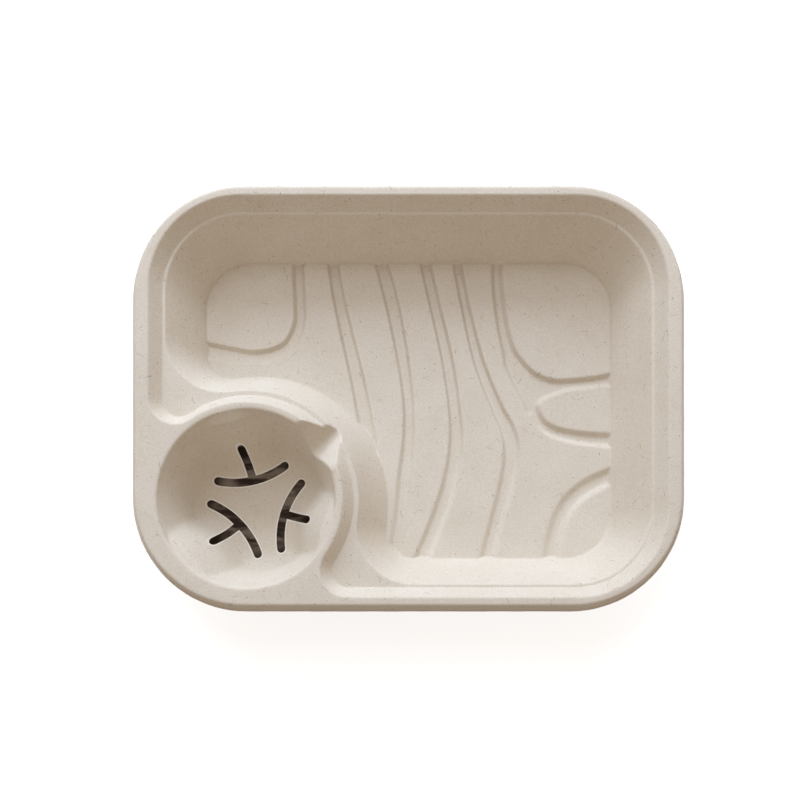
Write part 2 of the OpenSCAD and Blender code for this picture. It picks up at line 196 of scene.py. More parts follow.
def inside_outline(inwards, half, r, ring_r, turn_r, spacing=3.6, turn_gap=2.4, ring_gap=3.0):
    """The outline of the step or of the walls, moved inwards."""
    side, side_a, front, front_a = turn_centres(half, r, ring_r, turn_r)
    half_l, half_w = half
    quarter = math.pi / 2
    steps = int(r * quarter / spacing)
    side_steps = int(turn_r * side_a / turn_gap)
    ring_steps = int(ring_r * (side_a - front_a) / ring_gap)
    front_steps = int(turn_r * (quarter - front_a) / turn_gap)
    corners = [
        arc((half_l - r, -half_w + r), r - inwards, -quarter, 0, steps),
        arc((half_l - r, half_w - r), r - inwards, 0, quarter, steps),
        arc((-half_l + r, half_w - r), r - inwards, quarter, 2 * quarter, steps),
        arc(side, turn_r - inwards, math.pi, side_a + math.pi, side_steps),
        arc(POCKET, ring_r + inwards, side_a, front_a, ring_steps),
        arc(front, turn_r - inwards, front_a + math.pi, 3 * quarter, front_steps),
    ]
    gaps = [
        2 * (half_w - r),
        2 * (half_l - r),
        half_w - r - side[1],
        0,
        0,
        half_l - r - front[0],
    ]
    arcs = []
    for k, gap in enumerate(gaps):
        here = corners[k] if gap > 0 else corners[k][:-1]
        arcs.append((here, corners[(k + 1) % 6], gap))
    return closed_line(arcs, spacing)


def step_height(x, y):
    return fold_height(inside_distance(x, y, **STEP), **STEP_WALL)


def long_wall_height(x, y):
    return fold_height(inside_distance(x, y, **WALL), **LONG_WALL)


# The floor: channels pressed between raised fields, so that food stands clear of its juices and
# the thin floor stays stiff. Each middle line is a list of (x, y, width): hundredths of the floor's
# half length and half width, and millimetres.

FLOOR_HALF = (WALL_HALF[0] - WALL_LEAN, WALL_HALF[1] - WALL_LEAN)
CHANNEL_SIDE = dict(lean=1.3, top_z=FLOOR_Z, foot_z=BASE_Z, top_r=0.8, foot_r=0.7)
CHANNEL_JOIN = 1.6
CHANNEL_LINES = [
    [(-55, 108, 6.2), (-54, 78, 6.2), (-54, 60, 6.2), (-59, 45, 6.7), (-67, 39, 6.7), (-77, 37, 6.7),
        (-88, 39, 7.2), (-108, 44, 8.2)],
    [(-38, 108, 6.2), (-35, 80, 6.7), (-31, 55, 7.2), (-27, 32, 7.7), (-23, 6, 8.2), (-19.5, -22, 8.2),
        (-18, -48, 8.2)],
    [(-15, 108, 7.2), (-9, 78, 7.7), (-4, 45, 7.2), (-0.5, 12, 6.2), (0, -15, 6.2), (-2, -45, 7.2),
        (-4, -75, 7.7), (-8, -108, 8.2)],
    [(7, 108, 6.2), (13, 72, 6.2), (19, 36, 6.7), (22.5, 4, 6.7), (23.5, -22, 7.7), (20, -50, 7.7),
        (13, -78, 7.7), (4, -108, 8.2)],
    [(23, 108, 5.2), (28, 72, 5.2), (35, 33, 6.2), (44, 2, 6.7), (49, -12, 8.2), (51, -27, 8.7),
        (49, -47, 8.2), (44, -72, 7.2), (37, -108, 7.2)],
    [(43.6, 108, 5.8), (44, 85, 5.8), (46, 62, 6), (48.7, 45, 6.6), (51.8, 33, 8.6), (56, 19, 8.6),
        (61.8, 1.6, 5.4), (68, -11, 5.8), (82.5, -17.5, 6.5), (108, -20.5, 7.5)],
    [(60.5, 2, 5), (61.5, 8, 7.6), (63.8, 12.2, 8.9), (67.1, 14.3, 8), (71.3, 15.8, 7.1),
        (77.8, 17.5, 4.9), (87, 19.3, 4.4), (94, 20.4, 5.6), (108, 23, 8.2)],
    [(51.8, 33, 8.6), (59.2, 20.6, 12), (65.7, 18.2, 9), (71.5, 17.6, 6), (80, 18.4, 4.4),
        (90, 19.3, 4.4)],
    [(108, -40, 8.2), (92, -49, 8.2), (81, -60, 8.2), (73.5, -78, 7.7), (69, -108, 7.2)],
]


def smooth_line(marks, steps):
    """A smooth line through its marks, each stretch a cubic that follows the two neighbours."""
    marks = np.array(marks, float)
    last = len(marks) - 1
    t = np.linspace(0, last, steps * last + 1)
    i = np.minimum(t.astype(int), last - 1)
    u = (t - i)[:, None]
    a, b = marks[i], marks[i + 1]
    before, after = marks[np.maximum(i - 1, 0)], marks[np.minimum(i + 2, last)]
    start = np.where((i > 0)[:, None], (b - before) / 2, b - a)
    end = np.where((i < last - 1)[:, None], (after - a) / 2, b - a)
    return (a * (1 - 3 * u**2 + 2 * u**3) + b * (3 * u**2 - 2 * u**3)
            + start * (u - 2 * u**2 + u**3) + end * (u**3 - u**2))


# How many times wider the sides of each channel are than the long channels' own, seen from above.
# They grow wider still towards the front.
CHANNEL_SOFT = [1.4, 1, 1, 1, 1.1, 1.5, 1.5, 1.5, 1.5]
FRONT_SOFT = 0.7
FRONT_FROM = 75
CHANNELS = []
for marks, soft in zip(CHANNEL_LINES, CHANNEL_SOFT):
    scaled = []
    for x, y, w in marks:
        soft_here = soft * (1 + FRONT_SOFT * np.clip(-y / FRONT_FROM, 0, 1))
        wider = (soft_here - 1) * CHANNEL_SIDE["lean"]
        scaled.append((x * FLOOR_HALF[0] / 100, y * FLOOR_HALF[1] / 100, w + wider, soft_here))
    CHANNELS.append(smooth_line(scaled, 10))


def band_depth(x, y, line):
    """Distance in from the nearest edge of one channel, shared out over its own softness."""
    depth = np.full(x.shape, -99.0)
    for a, b in zip(line[:-1], line[1:]):
        run = b[:2] - a[:2]
        u = np.clip(((x - a[0]) * run[0] + (y - a[1]) * run[1]) / (run @ run), 0, 1)
        off = np.hypot(x - a[0] - u * run[0], y - a[1] - u * run[1])
        inwards = (a[2] + (b[2] - a[2]) * u) / 2 - off
        depth = np.maximum(depth, inwards / (a[3] + (b[3] - a[3]) * u))
    return depth


def blend_min(a, b, k):
    """The lower of two heights, with a soft edge where they cross."""
    h = np.maximum(k - np.abs(a - b), 0) / k
    return np.minimum(a, b) - h * h * k / 4


def blend_max(a, b, k):
    """The higher of two heights, with a soft edge where they cross."""
    return -blend_min(-a, -b, k)


def channel_depths(x, y):
    """Distance in from the nearest channel's edge, and from the next one's."""
    ranked = np.sort([band_depth(x, y, line) for line in CHANNELS], axis=0)
    return blend_max(ranked[-1], ranked[-2], CHANNEL_JOIN), ranked[-2]


def floor_height(x, y):
    return fold_height(channel_depths(x, y)[0], **CHANNEL_SIDE)


# The cup pocket: drawn deep in the same sheet, and round at the flange. Lower down three panels
# stand in towards the cup and spring against it. Between them three lobes run down to the base.

LOBE_LEAN = 12.3
LOBE_BOWL_R = 12.0
PANEL_INSET = 4.9
PANEL_SHOULDER_Z = TRAY_H - 4.0
PANEL_LEAN = 19.0
PANEL_BOWL_R = 16.0
PANEL_TURN = 103.0
COLLAR_OVER = 0.3
CREASE_BLEND = 0.4
PANEL_BULGE = (2.6, 1.6)
POCKET_FOLD_R = 1.5


def bowl_reach(z, foot_r, slope, bowl_r):
    """Distance from the pocket's centre of a wall that runs into the base through a bowl."""
    centre_r = foot_r - bowl_r * math.tan(slope / 2)
    centre_z = BASE_Z + bowl_r
    bend_z = centre_z - bowl_r * math.cos(slope)
    round_r = centre_r + np.sqrt(np.maximum(bowl_r**2 - np.minimum(centre_z - z, bowl_r) ** 2, 0))
    return np.where(z < bend_z, round_r, foot_r + (z - BASE_Z) / math.tan(slope))


def pocket_reach(z, off):
    """Distance of the pocket's wall from its centre, at an angle off the middle of a panel."""
    lobe = bowl_reach(z, POCKET_R - LOBE_LEAN, math.atan2(TRAY_H - BASE_Z, LOBE_LEAN), LOBE_BOWL_R)
    shoulder_r = POCKET_R - PANEL_INSET
    rise = PANEL_SHOULDER_Z - BASE_Z
    panel = bowl_reach(z, shoulder_r - PANEL_LEAN, math.atan2(rise, PANEL_LEAN), PANEL_BOWL_R)
    collar_lean = (PANEL_INSET + COLLAR_OVER) / (TRAY_H - PANEL_SHOULDER_Z)
    collar = shoulder_r + (z - PANEL_SHOULDER_Z) * collar_lean
    up = (z - BASE_Z) / rise
    bulge = np.maximum(PANEL_BULGE[0] + (PANEL_BULGE[1] - PANEL_BULGE[0]) * up, 0)
    chord = np.maximum(panel, collar) * (1 + bulge * (1 / np.cos(off) - 1))
    return (lobe + chord - np.sqrt((lobe - chord) ** 2 + CREASE_BLEND**2)) / 2


def roll_ball(profile, r, gap):
    """Rounds the ridges of height profiles, as a ball rolled along below the surface does."""
    reach = int(r / gap)
    cap = np.sqrt(np.maximum(r * r - (np.arange(-reach, reach + 1) * gap) ** 2, 0))
    n = profile.shape[1]
    wide = np.pad(profile, ((0, 0), (reach, reach)), mode="edge")
    low = np.min([wide[:, k:k + n] - cap[k] for k in range(2 * reach + 1)], axis=0)
    wide = np.pad(low, ((0, 0), (reach, reach)), mode="edge")
    return np.max([wide[:, k:k + n] + cap[k] for k in range(2 * reach + 1)], axis=0)


# The pocket's heights, by direction off the middle of a panel and by distance from the centre.
# The wall's line runs on above the flange, where it is then cut off level.
POCKET_OFFS = np.radians(np.arange(0, 61))
POCKET_GAP = 0.025
POCKET_TABLE_R = 50
POCKET_RADII = np.arange(0, POCKET_TABLE_R, POCKET_GAP)
ABOVE_FLANGE = 6
LEVEL_COUNT = 900
level = BASE_Z + (TRAY_H + ABOVE_FLANGE - BASE_Z) * np.linspace(0, 1, LEVEL_COUNT) ** 2
POCKET_TABLE = np.stack([
    np.interp(POCKET_RADII, pocket_reach(level, off), level, left=BASE_Z) for off in POCKET_OFFS])
POCKET_TABLE = roll_ball(np.minimum(POCKET_TABLE, TRAY_H), POCKET_FOLD_R, POCKET_GAP)


def panel_off(turn):
    """Angle off the middle of the nearest panel, for a direction from the pocket's centre."""
    third = math.radians(120)
    return np.abs(np.mod(turn - math.radians(PANEL_TURN) + third / 2, third) - third / 2)


def pocket_height(x, y):
    dx, dy = x - POCKET[0], y - POCKET[1]
    off = np.degrees(panel_off(np.arctan2(dy, dx)))
    reach = np.minimum(np.hypot(dx, dy) / POCKET_GAP, len(POCKET_RADII) - 1.001)
    i = np.minimum(off.astype(int), len(POCKET_OFFS) - 2)
    j = reach.astype(int)
    u, v = off - i, reach - j
    return ((1 - u) * ((1 - v) * POCKET_TABLE[i, j] + v * POCKET_TABLE[i, j + 1])
            + u * ((1 - v) * POCKET_TABLE[i + 1, j] + v * POCKET_TABLE[i + 1, j + 1]))


# The notch: a V-shaped saddle pressed across the ridge between cup and food. A finger reaches in
# through it to lift the cup.

NOTCH_TURN = math.radians(38)
NOTCH_Z = TRAY_H - 15.0
NOTCH_RISE = 3.0
NOTCH_SLOPE = math.radians(49)
NOTCH_BOTTOM_R = 3.0
NOTCH_FROM = 37.3
NOTCH_TO = 56.9
NOTCH_BLEND = 1.3
NOTCH_END = 4.0


def notch_place(x, y):
    """Distance along the notch from the pocket's centre, and across it."""
    dx, dy = x - POCKET[0], y - POCKET[1]
    along = dx * math.cos(NOTCH_TURN) + dy * math.sin(NOTCH_TURN)
    return along, dy * math.cos(NOTCH_TURN) - dx * math.sin(NOTCH_TURN)


def notch_height(x, y):
    along, across = notch_place(x, y)
    outwards = np.clip((along - NOTCH_FROM) / (NOTCH_TO - NOTCH_FROM), 0, 1)
    centre_z = NOTCH_Z + NOTCH_BOTTOM_R + NOTCH_RISE * outwards
    bend = NOTCH_BOTTOM_R * math.sin(NOTCH_SLOPE)
    bend_z = centre_z - NOTCH_BOTTOM_R * math.cos(NOTCH_SLOPE)
    bottom = centre_z - np.sqrt(np.maximum(NOTCH_BOTTOM_R**2 - across**2, 0))
    side = bend_z + (np.abs(across) - bend) * math.tan(NOTCH_SLOPE)
    z = np.where(np.abs(across) < bend, bottom, side)
    return z + NOTCH_END * (np.maximum(NOTCH_FROM - along, 0) + np.maximum(along - NOTCH_TO, 0))


def plain_height(x, y):
    """Height of the sheet's upper side without the notch."""
    food = blend_max(long_wall_height(x, y), floor_height(x, y), WALL_FILLET)
    drops = (rim_height(x, y) - TRAY_H) + (step_height(x, y) - TRAY_H) + (food - LEDGE_Z)
    return pocket_height(x, y) + drops


def sheet_height(x, y):
    return blend_min(plain_height(x, y), notch_height(x, y), NOTCH_BLEND)


# The pressed sheet itself, as one closed mesh. Lines of points follow every fold, channel and
# wall. A fine net fills the places where they run into each other, and a coarse one the flat
# fields.

MM = 0.001
LINE_MARGIN = 0.8
NET_MARGIN = 1.0
BELOW_NOTCH = 2.5
# The fine net where a channel meets the wall: from above the wall's foot to past it
END_NET = (-1.7, 2.9)
END_OVERLAP = 0.3
points = []
links = []


def add_line(line, closed, keep):
    """Adds a line of points, and links those that follow each other and are both kept."""
    places = np.full(len(line), -1)
    places[keep] = len(points) + np.arange(keep.sum())
    points.extend(line[keep])
    after = np.roll(np.arange(len(line)), -1)
    for i in range(len(line) if closed else len(line) - 1):
        if places[i] >= 0 and places[after[i]] >= 0:
            links.append((places[i], places[after[i]]))


def near_notch(x, y, margin):
    along, across = notch_place(x, y)
    z = plain_height(x, y)
    half = (z - NOTCH_Z) / math.tan(NOTCH_SLOPE) + margin
    beside = (np.abs(across) < half) & (z > NOTCH_Z - BELOW_NOTCH)
    return (along > NOTCH_FROM - margin) & (along < NOTCH_TO + margin) & beside


def near_channel_end(x, y, depth, margin):
    wall_in = inside_distance(x, y, **WALL) - WALL_LEAN
    return (depth > -margin) & (wall_in > END_NET[0]) & (wall_in < END_NET[1])


def busy(x, y, margin):
    """Where two shapes run into each other, so that the fine net takes the place of the lines."""
    first, second = channel_depths(x, y)
    floor_join = (second > -margin) & (inside_distance(x, y, **WALL) > WALL_LEAN)
    return near_notch(x, y, margin) | near_channel_end(x, y, first, margin) | floor_join


# The rim's lines, from the lip inwards. The one at LIP_ROW runs along the middle of the lip.
LIP_ROW = 2.42
for out in reversed(fold_rows(**SKIRT)[:-1] + [LIP_ROW, TRIM_OUT]):
    line = rim_outline(out)
    add_line(line, True, np.full(len(line), True))
for inwards in fold_rows(**STEP_WALL):
    line = inside_outline(inwards, **STEP)
    add_line(line, True, ~near_notch(line[:, 0], line[:, 1], LINE_MARGIN))

# The long walls' lines: the upper fold's, then the wall's, and closer ones in the fillet
wall_rows = fold_rows(WALL_LEAN, LEDGE_Z, FLOOR_Z, WALL_TOP_R, WALL_FOOT_R, margin=0.35)[:7]
wall_rows += [2.8, 4.6, 6.6, 8.8, 11.0, 12.2, 12.7, 13.1, 13.45, 13.8, 14.15, 14.5, 15.1]
for inwards in wall_rows:
    line = inside_outline(inwards, **WALL)
    add_line(line, True, ~busy(line[:, 0], line[:, 1], LINE_MARGIN))

# The heights at which lines run round the pocket, closer together at its folds
POCKET_LEVELS = [
    0.83, 0.95, 1.2, 1.6, 2.2, 3.0, 4.0, 5.2, 6.7, 8.5, 10.7, 13.3, 16.2, 19.4, 22.6, 25.8, 28.8,
    31.5, 33.5, 34.7, 35.4, 36.0, 36.6, 37.3, 38.0, 38.6, 39.1, 39.5, 39.78, 39.95]
POCKET_TURN_STEP = 2.4
pocket_turns = np.radians(np.arange(0, 360, POCKET_TURN_STEP))
off = np.degrees(panel_off(pocket_turns))
inner = np.stack([np.interp(POCKET_LEVELS, row, POCKET_RADII) for row in POCKET_TABLE])
for k in range(len(POCKET_LEVELS)):
    r = np.interp(off, np.arange(len(POCKET_OFFS)), inner[:, k])
    line = np.stack([POCKET[0] + r * np.cos(pocket_turns), POCKET[1] + r * np.sin(pocket_turns)], 1)
    add_line(line, True, ~near_notch(line[:, 0], line[:, 1], LINE_MARGIN))
POCKET_LAND_ROW = POCKET_R + 1.75
line = arc(POCKET, POCKET_LAND_ROW, 0, 2 * math.pi, len(pocket_turns))[:-1]
add_line(line, True, ~near_notch(line[:, 0], line[:, 1], LINE_MARGIN))

# The channels' lines: along both sides of each, as far in as it has room, and down its middle
CHANNEL_ROWS = fold_rows(**CHANNEL_SIDE, fold_steps=3, wall_steps=2)
CHANNEL_SPACING = 2.8
MIDDLE_CLEAR = 0.3
for line in CHANNELS:
    run = np.gradient(line[:, :2], axis=0)
    length = np.concatenate([[0], np.cumsum(np.hypot(*np.diff(line[:, :2], axis=0).T))])
    marks = np.linspace(0, length[-1], int(length[-1] / CHANNEL_SPACING) + 1)
    here = np.stack([np.interp(marks, length, line[:, k]) for k in range(4)], 1)
    run = np.stack([np.interp(marks, length, run[:, k]) for k in range(2)], 1)
    across = np.stack([-run[:, 1], run[:, 0]], 1) / np.hypot(*run.T)[:, None]
    narrowest = (here[:, 2] / 2 / here[:, 3]).min() - MIDDLE_CLEAR
    rows = [(side, inwards) for side in (1, -1) for inwards in CHANNEL_ROWS if inwards < narrowest]
    for side, inwards in rows + [(0, 0)]:
        row = here[:, :2] + across * (side * (here[:, 2] / 2 - inwards * here[:, 3]))[:, None]
        x, y = row[:, 0], row[:, 1]
        clear = inside_distance(x, y, **WALL) > WALL_LEAN + END_NET[1] - END_OVERLAP
        add_line(row, False, clear & ~busy(x, y, LINE_MARGIN))

# A map of the places that the lines already cover, so that no filling point comes close. It has
# a few spare cells along each edge.
MAP_GAP = 0.25
MAP_EDGE = 4
map_size = [int(length / MAP_GAP) + 2 * MAP_EDGE for length in (TRAY_L, TRAY_W)]
covered = np.zeros(map_size, bool)


def map_cell(p):
    column = ((p[:, 0] + TRAY_L / 2) / MAP_GAP + MAP_EDGE).astype(int)
    row = ((p[:, 1] + TRAY_W / 2) / MAP_GAP + MAP_EDGE).astype(int)
    return column, row


ends = np.array(points)
pairs = np.array(links)
for t in np.linspace(0, 1, 16):
    covered[map_cell(ends[pairs[:, 0]] * (1 - t) + ends[pairs[:, 1]] * t)] = True


def net(gap, low, high):
    """Points of a triangular net."""
    rows = np.arange(low[1], high[1], gap * math.sqrt(3) / 2)
    columns = np.arange(low[0], high[0], gap)
    x, y = np.meshgrid(columns, rows)
    x = x + (np.arange(len(rows)) % 2)[:, None] * gap / 2
    return np.stack([x.ravel(), y.ravel()], 1)


def fill(places, spread):
    """Adds the points that lie clear of the covered map, and covers their own places."""
    near = covered.copy()
    reach = int(round(spread / MAP_GAP))
    for _ in range(reach):
        near[1:] |= near[:-1].copy()
        near[:-1] |= near[1:].copy()
        near[:, 1:] |= near[:, :-1].copy()
        near[:, :-1] |= near[:, 1:].copy()
    places = places[~near[map_cell(places)]]
    points.extend(places)
    covered[map_cell(places)] = True


FINE_GAP = 0.6
COARSE_GAP = 4.0
COARSE_CLEAR = 1.5
FOOT_FROM = -2.0
NOTCH_AREA_HALF = 18.0
NOTCH_AREA = (34.0, 60.0)
half_l, half_w = TRAY_L / 2, TRAY_W / 2
fine = net(FINE_GAP, (-half_l, -half_w), (half_l, half_w))
x, y = fine[:, 0], fine[:, 1]
wall_in = inside_distance(x, y, **WALL) - WALL_LEAN
along, across = notch_place(x, y)
# A quick choice first, of the floor, the wall's foot and the notch's surroundings
round_notch = (np.abs(across) < NOTCH_AREA_HALF) & (along > NOTCH_AREA[0]) & (along < NOTCH_AREA[1])
likely = (wall_in > FOOT_FROM) | round_notch
likely &= rounded_rect_distance(x, y, FLANGE_HALF, FLANGE_CORNER_R) > 0
fine = fine[likely]
fine = fine[busy(fine[:, 0], fine[:, 1], NET_MARGIN)]
fill(fine, MAP_GAP)
coarse = net(COARSE_GAP, (-half_l, -half_w), (half_l, half_w))
from_rim = rounded_rect_distance(coarse[:, 0], coarse[:, 1], FLANGE_HALF, FLANGE_CORNER_R)
fill(coarse[from_rim > COARSE_CLEAR], COARSE_CLEAR)

corners, _, triangles, _, _, _ = delaunay_2d_cdt(
    [Vector(p) for p in points], [(int(a), int(b)) for a, b in links], [], 1, 1e-4, False)
plan = np.array([(p.x, p.y) for p in corners])
triangles = np.array(triangles)

# A pressed sheet dries a little uneven: long, shallow waves, which stay inside its overall size
WAVE = 0.09
WAVE_COUNT = 14
WAVE_LENGTHS = (16, 75)
WAVE_SUM = 6
draws = np.random.default_rng(11)
wave = np.zeros(len(plan))
for k in range(WAVE_COUNT):
    length = draws.uniform(*WAVE_LENGTHS)
    turn, start = draws.uniform(0, 2 * math.pi, 2)
    along = plan[:, 0] * math.cos(turn) + plan[:, 1] * math.sin(turn)
    wave += np.sin(along * 2 * math.pi / length + start)
wave = np.clip(wave / WAVE_SUM, -1, 1) * WAVE
height = sheet_height(plan[:, 0], plan[:, 1])
up = np.clip((height - BASE_Z) / (TRAY_H - BASE_Z), 0, 1)
height = height + wave + WAVE * (1 - 2 * up)
upper = np.column_stack([plan, height])

# The under side lies one thickness below, square to the sheet
a, b, c = (upper[triangles[:, k]] for k in range(3))
faces_up = np.cross(b - a, c - a)[:, 2] > 0
triangles[~faces_up] = triangles[~faces_up][:, ::-1]
a, b, c = (upper[triangles[:, k]] for k in range(3))
square = np.cross(b - a, c - a)
square /= np.linalg.norm(square, axis=1)[:, None]
normals = np.zeros_like(upper)
for k, (p, q, r) in enumerate(((a, b, c), (b, c, a), (c, a, b))):
    one = (q - p) / np.linalg.norm(q - p, axis=1)[:, None]
    two = (r - p) / np.linalg.norm(r - p, axis=1)[:, None]
    angle = np.arccos(np.clip((one * two).sum(1), -1, 1))
    for axis in range(3):
        np.add.at(normals[:, axis], triangles[:, k], square[:, axis] * angle)
normals /= np.linalg.norm(normals, axis=1)[:, None]
lower = upper - normals * SHEET

# The trimmed edge of the lip joins both sides, a little ragged
edges = np.concatenate([triangles[:, [0, 1]], triangles[:, [1, 2]], triangles[:, [2, 0]]])
known = set(map(tuple, edges))
following = {a: b for a, b in known if (b, a) not in known}
start = next(iter(following))
edge_loop = [start]
while following[edge_loop[-1]] != start:
    edge_loop.append(following[edge_loop[-1]])
edge_loop = np.array(edge_loop)
rim = upper[edge_loop]
tangent = np.roll(rim, -1, 0) - np.roll(rim, 1, 0)
outwards = np.column_stack([tangent[:, 1], -tangent[:, 0], np.zeros(len(rim))])
outwards /= np.linalg.norm(outwards, axis=1)[:, None]
ragged = outwards * (TRIM_R - draws.uniform(0, TRIM_RAG, (len(rim), 1)))
trim_top = rim + ragged - np.array([0, 0, TRIM_DOWN])
trim_low = lower[edge_loop] + ragged + np.array([0, 0, TRIM_DOWN])
count = len(upper)
sheet_points = np.concatenate([upper, lower, trim_top, trim_low])
sheet_points = np.clip(sheet_points, (-TRAY_L / 2, -TRAY_W / 2, 0), (TRAY_L / 2, TRAY_W / 2, TRAY_H))
trim_loop = 2 * count + np.arange(len(rim))
loops = [edge_loop, trim_loop, trim_loop + len(rim), count + edge_loop]
sheet_faces = triangles.tolist() + (triangles[:, ::-1] + count).tolist()
for over, under in zip(loops[:-1], loops[1:]):
    sheet_faces += np.stack([np.roll(over, -1), over, under, np.roll(under, -1)], 1).tolist()

mesh = bpy.data.meshes.new("tray_sheet")
mesh.from_pydata((sheet_points * MM).tolist(), [], sheet_faces)
underside = mesh.attributes.new("underside", "FLOAT", "POINT")
underside.data.foreach_set("value", (np.arange(len(sheet_points)) >= count).astype(float))

# Painted shade: the sheet is darkened in its tightest folds, along the channels' sides and where
# the walls meet the floor, and only towards the back
SHADE_FROM_Y = -25.0
SHADE_FULL_Y = 35.0
SIDE_SHADE = 0.65
FOOT_SHADE = 0.8
FOOT_SHADE_W = 0.8
FOOT_CLEAR = 0.2
towards_back = np.clip((plan[:, 1] - SHADE_FROM_Y) / (SHADE_FULL_Y - SHADE_FROM_Y), 0, 1)
channel_in = channel_depths(plan[:, 0], plan[:, 1])[0]
on_side = (channel_in > 0) & (channel_in < CHANNEL_SIDE["lean"])
foot_off = inside_distance(plan[:, 0], plan[:, 1], **WALL) - WALL_LEAN
at_foot = np.clip(1 - np.abs(foot_off) / FOOT_SHADE_W, 0, 1) * (channel_in < 0)
tight = on_side * (foot_off > FOOT_CLEAR) * SIDE_SHADE + at_foot * FOOT_SHADE
in_fold = mesh.attributes.new("in_fold", "FLOAT", "POINT")
in_fold.data.foreach_set("value", np.pad(tight * towards_back, (0, len(sheet_points) - count)))
mesh.validate()
mesh.shade_smooth()
tray = bpy.data.objects.new("tray_sheet", mesh)
bpy.context.scene.collection.objects.link(tray)


# The pulp: dried bagasse fibre, matt and warm white, with a fine grain, faint clouds and stains,
# and small dark specks. Painted shade darkens the pocket's lowest part and the tightest folds, and a
# painted highlight lightens the slots' cut edges. The under side keeps the print of the mould's
# wire screen.


class Socket:
    """An output of a node in any tree, with the sums that are made from it."""

    def __init__(self, tree, socket=None):
        self.tree = tree
        self.socket = socket

    def node(self, kind, settings=(), inputs=(), output=0):
        """Makes any node: its type, its settings, and the values or links of its sockets."""
        made = self.tree.nodes.new(kind)
        for name, value in dict(settings).items():
            setattr(made, name, value)
        for name, value in dict(inputs).items():
            for one in value if isinstance(value, list) else [value]:
                if isinstance(one, Socket):
                    self.tree.links.new(one.socket, made.inputs[name])
                else:
                    made.inputs[name].default_value = one
        return Socket(self.tree, made.outputs[output])

    def other(self, output):
        """Another output of the same node."""
        return Socket(self.tree, self.socket.node.outputs[output])

    def maths(self, operation, a, b=0.0):
        """A calculation with two values, each a number or a socket."""
        return self.node("ShaderNodeMath", {"operation": operation}, {0: a, 1: b})

    def __add__(self, other):
        return self.maths("ADD", self, other)

    def __sub__(self, other):
        return self.maths("SUBTRACT", self, other)

    def __rsub__(self, other):
        return self.maths("SUBTRACT", other, self)

    def __mul__(self, other):
        return self.maths("MULTIPLY", self, other)

    def __truediv__(self, other):
        return self.maths("DIVIDE", self, other)

    def __rtruediv__(self, other):
        return self.maths("DIVIDE", other, self)

    __radd__ = __add__
    __rmul__ = __mul__

    def span(self, low, high):
        """0 at low and below, 1 at high and above, with soft ends."""
        return self.node("ShaderNodeMapRange", {"interpolation_type": "SMOOTHSTEP"},
                         {"Value": self, "From Min": low, "From Max": high})

    def mix(self, share, one, two):
        """One colour, mixed towards another by a share."""
        return self.node("ShaderNodeMix", {"data_type": "RGBA"}, {0: share, 6: one, 7: two}, 2)

    def towards(self, colour, share):
        """This colour, mixed towards another by a share."""
        return self.mix(share, self, colour)


def new_material(name):
    """A material with an empty tree, and the start from which its nodes are made."""
    made = bpy.data.materials.new(name)
    made.use_nodes = True
    made.node_tree.nodes.clear()
    return made, Socket(made.node_tree)


def finish_material(start, values):
    """A plain surface shader with the given socket values."""
    surface = start.node("ShaderNodeBsdfPrincipled", {}, values)
    end = start.tree.nodes.new("ShaderNodeOutputMaterial")
    start.tree.links.new(surface.socket, end.inputs["Surface"])


PULP_LIGHT = (0.80, 0.75, 0.665, 1)
PULP_DARK = (0.70, 0.63, 0.52, 1)
PULP_DEEP = (0.55, 0.46, 0.35, 1)
# The brown of the real stains, which also gives the painted shade in the pocket
STAIN_AND_SHADE = (0.56, 0.45, 0.31, 1)
SPECK = (0.17, 0.11, 0.06, 1)
# A pale colour for the painted highlight along the slots' cut edges
CUT_EDGE_HIGHLIGHT = (0.92, 0.89, 0.83, 1)
POCKET_SHADE_CENTRE = (POCKET[0], POCKET[1], 8)
SCREEN_TURN = 5.2

pulp, start = new_material("pulp")
place = start.node("ShaderNodeTexCoord", output="Object")
place = start.node("ShaderNodeVectorMath", {"operation": "SCALE"}, {0: place, "Scale": 1000.0})


def noise(scale, detail=2.0, roughness=0.5, distortion=0.0):
    """A soft noise over the piece, its scale in waves to a millimetre."""
    return place.node("ShaderNodeTexNoise", {}, {
        "Vector": place, "Scale": scale, "Detail": detail, "Roughness": roughness,
        "Distortion": distortion})


clouds = noise(0.045, 3.0, 0.55)
stains = noise(0.11, 4.0, 0.65, 0.4)
flecks = noise(0.42, 3.0, 0.6)
grain = noise(1.25, 2.0, 0.65)
dust = noise(2.6, 1.0, 0.5)
cells = start.node("ShaderNodeTexVoronoi", {"feature": "F1"}, {"Vector": place, "Scale": 0.36})
cell_shade = start.node("ShaderNodeSeparateColor", {}, {"Color": cells.other("Color")})
specks = (1 - cells.span(0.06, 0.15)) * cell_shade.span(0.78, 0.82)

colour = start.mix(clouds.span(0.3, 0.7) * 0.3, PULP_LIGHT, PULP_DARK)
colour = colour.towards(PULP_DARK, flecks.span(0.35, 0.75) * 0.25)
# Painted shade round the pocket's base, a brown darkening low in the pocket, mixed in with the real
# stains
from_pocket = start.node("ShaderNodeVectorMath", {"operation": "DISTANCE"}, {
    0: place, 1: POCKET_SHADE_CENTRE}, "Value")
pocket_shade = (1 - (from_pocket + (clouds - 0.5) * 22).span(20, 46)) * 0.1
colour = colour.towards(STAIN_AND_SHADE, pocket_shade + stains.span(0.56, 0.78) * 0.22)
colour = colour.towards(PULP_DEEP, grain.span(0.38, 0.72) * 0.34)
colour = colour.towards(PULP_LIGHT, (1 - grain).span(0.45, 0.75) * 0.2)
colour = colour.towards(PULP_DEEP, dust.span(0.4, 0.75) * 0.3)
colour = colour.towards(SPECK, specks * 0.7)
# Painted shade in the sheet's tightest folds, towards the back
in_fold = start.node("ShaderNodeAttribute", {"attribute_name": "in_fold"}, output="Fac")
colour = colour.towards(PULP_DEEP, in_fold * 0.5)
